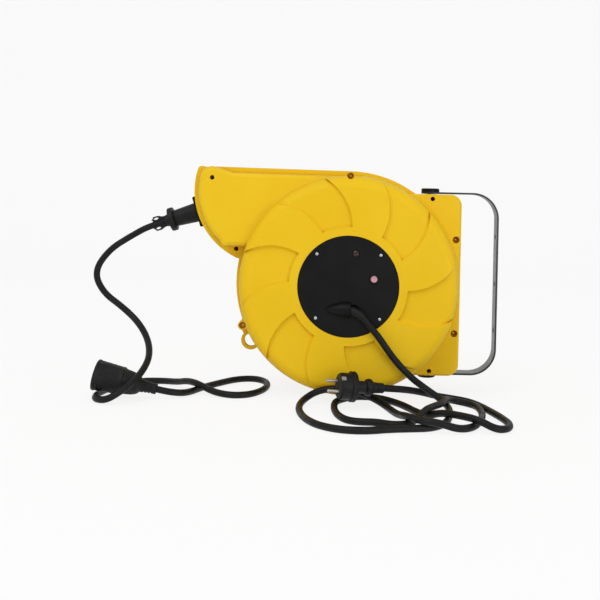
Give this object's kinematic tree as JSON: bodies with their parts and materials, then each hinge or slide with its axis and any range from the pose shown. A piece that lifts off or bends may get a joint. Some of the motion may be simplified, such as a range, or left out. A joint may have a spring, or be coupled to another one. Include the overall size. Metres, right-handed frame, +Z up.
{
  "type": "extension cord reel",
  "caption": "Wall-mounted spring-return extension cord reel in a round casing on a swivel bracket, with its supply lead and plug, cable mouth with rollers, and trailing socket.",
  "frame": {"origin": "middle of the footprint of the reel and its bracket, on the floor that it stands on, at the bottom of the casing", "axes": "+X towards the wall bracket and away from the cable mouth, +Y away from the hub cover along the drum's axle, +Z up"},
  "size_m": [0.6725, 0.3855, 0.3665],
  "materials": {
    "yellow_shell": "moulded, satin",
    "black_plastic": "moulded, fine grain",
    "black_rubber": "moulded",
    "cord_sheath": "extruded, matt",
    "bracket_steel": "black, semi-gloss",
    "zinc_steel": "zinc plated",
    "nickel_pins": "nickel plated",
    "spring_steel": "blued strip",
    "brass_parts": "plain",
    "red_lens": "clear red, dark when off",
    "pink_button": "moulded",
    "white_nylon": "moulded",
    "grey_plastic": "moulded"
  },
  "bodies": {
    "casing": {"front_shell": "yellow_shell", "rear_shell": "yellow_shell", "shell_screws_deep": "zinc_steel", "shell_screws_open": "zinc_steel", "hub_cover": "black_plastic", "hub_cover_screws": "zinc_steel", "pilot_lens": "red_lens", "pilot_lamp": "red_lens", "overload_breaker": "black_plastic", "reset_bezel": "black_plastic", "reset_spring": "spring_steel", "terminal_block": "white_nylon", "axle": "zinc_steel", "axle_washer": "zinc_steel", "axle_nut": "zinc_steel", "spring_arbor": "zinc_steel", "mainspring": "spring_steel", "brush_holder": "black_plastic", "brushes": "brass_parts", "pawl_pin": "zinc_steel", "pawl_spring": "spring_steel", "pivot_bolts": "zinc_steel", "pivot_washers": "zinc_steel", "pivot_nuts": "zinc_steel", "guide_frame": "black_plastic", "roller_pins": "zinc_steel", "stopper_cone": "black_rubber", "stopper_collar": "black_rubber", "stopper_clamp": "black_rubber", "plug_body": "black_rubber", "plug_pins": "nickel_pins", "plug_earth_clips": "nickel_pins", "coupling_body": "black_rubber", "coupling_insert": "black_plastic", "coupling_contacts": "brass_parts", "coupling_earth_clips": "nickel_pins", "inlet_sleeve": "black_rubber", "supply_cord": "cord_sheath", "output_cord": "cord_sheath", "lead_cord": "cord_sheath"},
    "bracket": {"bracket": "bracket_steel", "pivot_caps": "black_plastic"},
    "drum": {"drum_core": "grey_plastic", "drum_bushes": "white_nylon", "drum_front_plate": "grey_plastic", "drum_rear_plate": "grey_plastic", "wound_cord": "cord_sheath", "spring_case": "zinc_steel", "spring_cover": "zinc_steel", "ratchet_ring": "zinc_steel", "slip_ring_hub": "white_nylon", "slip_rings": "brass_parts"},
    "pawl": {"pawl": "zinc_steel"},
    "reset_button": {"reset_button": "pink_button"},
    "guide_roller_1": {"guide_roller_1": "white_nylon"},
    "guide_roller_2": {"guide_roller_2": "white_nylon"},
    "guide_roller_3": {"guide_roller_3": "white_nylon"},
    "guide_roller_4": {"guide_roller_4": "white_nylon"}
  },
  "joints": [
    {"name": "bracket_swivel", "type": "hinge", "parent": "casing", "child": "bracket", "pos_m": [0.14, 0.008, 0.1815], "axis": [0, 0, 1], "range_deg": [-90, 90]},
    {"name": "drum_spin", "type": "hinge", "parent": "casing", "child": "drum", "pos_m": [0.006, 0.008, 0.1815], "axis": [0, -1, 0], "range_deg": [0, 9360]},
    {"name": "pawl_swing", "type": "hinge", "parent": "casing", "child": "pawl", "pos_m": [0.006, 0.05, 0.2995], "axis": [0, -1, 0], "range_deg": [0, 12], "stiffness_Nm_per_rad": 0.02},
    {"name": "reset_press", "type": "slide", "parent": "casing", "child": "reset_button", "axis": [0, 1, 0], "range_m": [0, 0.0025], "stiffness_N_per_m": 400, "deforming": ["reset_spring"]},
    {"name": "roller_1_spin", "type": "hinge", "parent": "casing", "child": "guide_roller_1", "pos_m": [-0.22859, 0.008, 0.2837], "axis": [0, 1, 0], "continuous": true},
    {"name": "roller_2_spin", "type": "hinge", "parent": "casing", "child": "guide_roller_2", "pos_m": [-0.23557, 0.008, 0.30624], "axis": [0, 1, 0], "continuous": true},
    {"name": "roller_3_spin", "type": "hinge", "parent": "casing", "child": "guide_roller_3", "pos_m": [-0.21871, 0.0198, 0.29911], "axis": [0.2957, 0, -0.9553], "continuous": true},
    {"name": "roller_4_spin", "type": "hinge", "parent": "casing", "child": "guide_roller_4", "pos_m": [-0.21871, -0.0038, 0.29911], "axis": [0.2957, 0, -0.9553], "continuous": true}
  ]
}
